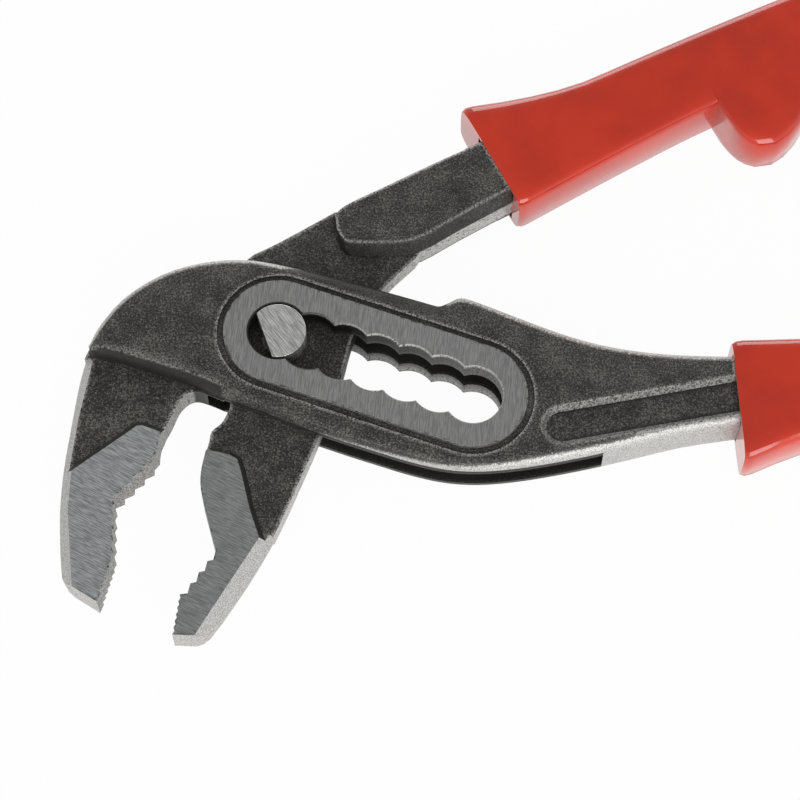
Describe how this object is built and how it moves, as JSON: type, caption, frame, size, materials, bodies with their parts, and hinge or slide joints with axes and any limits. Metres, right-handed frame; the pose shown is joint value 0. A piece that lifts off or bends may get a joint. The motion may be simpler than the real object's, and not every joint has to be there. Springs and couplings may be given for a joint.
{
  "type": "water pump pliers",
  "caption": "Box-joint adjustable pliers: one lever runs through a slit in the other, a D-shaped pivot pin seats in a scalloped slot, with toothed jaws and plastic-dipped handles.",
  "frame": {"origin": "on the pivot axis, in the plane the tool lies on: the middle of the pin's rear end, flush with the rear pad", "axes": "+X along the slotted lever's handle, away from the jaws; +Y towards the inner lever's handle; +Z out of the front face, along the pivot axis"},
  "size_m": [0.238, 0.1432, 0.0128],
  "materials": {
    "forged_steel": "black forged skin, with ground faces on the pads and jaws",
    "ground_steel": "ground bright",
    "grip_plastic": "soft, satin to glossy"
  },
  "bodies": {
    "slotted": {"slotted_lever": "forged_steel", "slotted_grip": "grip_plastic"},
    "pin": {"pin_core": "ground_steel"},
    "inner": {"inner_lever": "forged_steel", "pin_front": "ground_steel", "pin_back": "ground_steel", "inner_grip": "grip_plastic"}
  },
  "joints": [
    {"name": "adjust", "type": "slide", "parent": "slotted", "child": "pin", "axis": [0.9432, -0.3322, 0], "range_m": [0, 0.0372]},
    {"name": "pivot", "type": "hinge", "parent": "pin", "child": "inner", "pos_m": [0, 0, 0.0064], "axis": [0, 0, 1], "range_deg": [-14, 46]}
  ]
}
